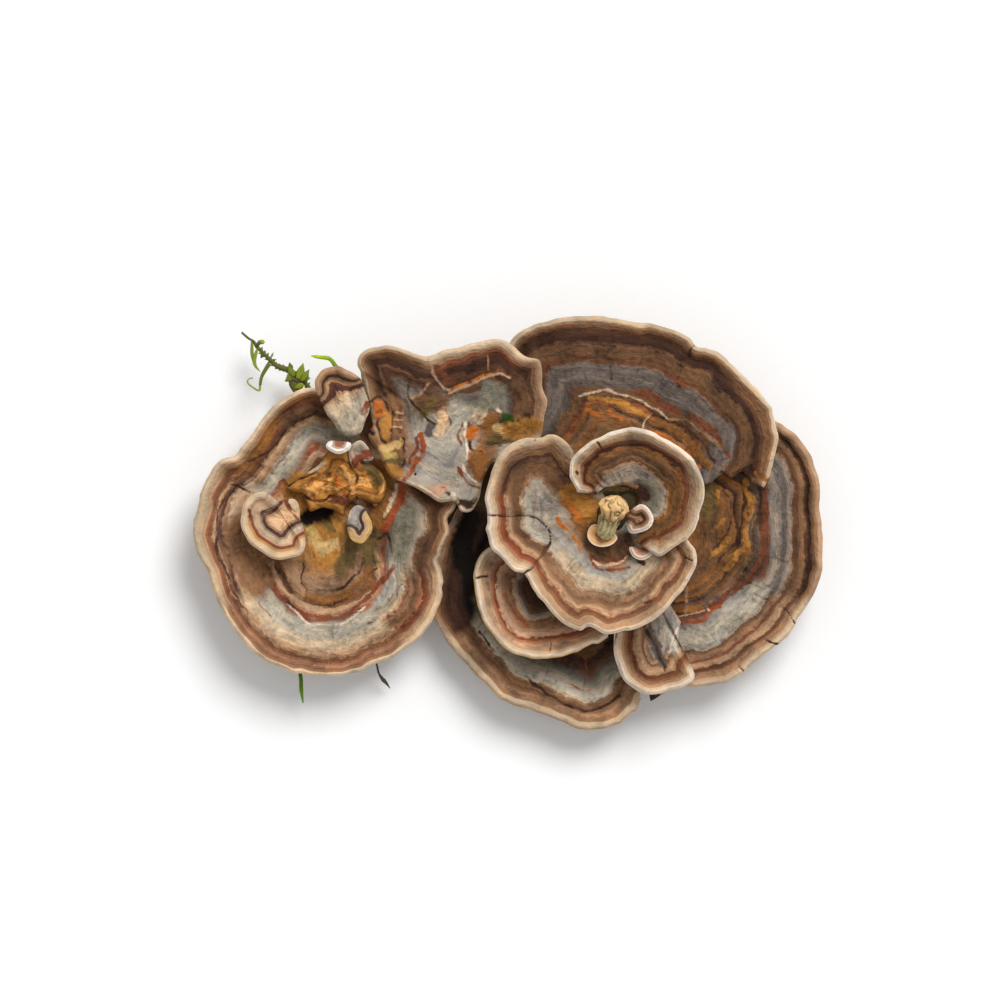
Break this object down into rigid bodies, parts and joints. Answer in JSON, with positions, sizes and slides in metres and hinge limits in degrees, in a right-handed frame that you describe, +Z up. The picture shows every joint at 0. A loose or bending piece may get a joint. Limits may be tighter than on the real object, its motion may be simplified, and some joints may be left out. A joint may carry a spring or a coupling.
{
  "type": "turkey tail fungus",
  "caption": "Cluster of turkey tail bracket fungus: rosettes of thin, wavy, colour-zoned caps grown together, on a base with a flat cut that it rests on.",
  "frame": {"origin": "middle of the cluster's length and width, on the plane of the flat cut under its base", "axes": "+X along the cluster's length, from the left rosette to the right one; +Y up the picture; +Z up, away from the wood"},
  "size_m": [0.1267, 0.0832, 0.0276],
  "materials": {
    "zoned_cap": "matte",
    "pale_cap": "matte",
    "ochre_tissue": "matte",
    "attachment_tissue": "matte",
    "moss": "matte",
    "grass": "satin",
    "rootlet": "matte"
  },
  "bodies": {
    "root": {"base": "attachment_tissue", "left_cap": "zoned_cap", "left_heart": "ochre_tissue", "kidney_cap": "pale_cap", "thumb_cap": "pale_cap", "upper_cap": "zoned_cap", "hanging_lobe": "zoned_cap", "white_lip": "pale_cap", "middle_cap": "zoned_cap", "upper_right_cap": "zoned_cap", "right_cap": "zoned_cap", "lower_cap": "zoned_cap", "small_lower_cap": "zoned_cap", "second_cap": "zoned_cap", "rose_cap": "zoned_cap", "upper_rose_cap": "zoned_cap", "centre_stub": "pale_cap", "amber_lip": "ochre_tissue", "cup_lip": "pale_cap", "pink_lip": "pale_cap", "moss_sprig": "moss", "upper_blade": "grass", "lower_blade": "grass", "rootlet": "rootlet"}
  },
  "joints": []
}
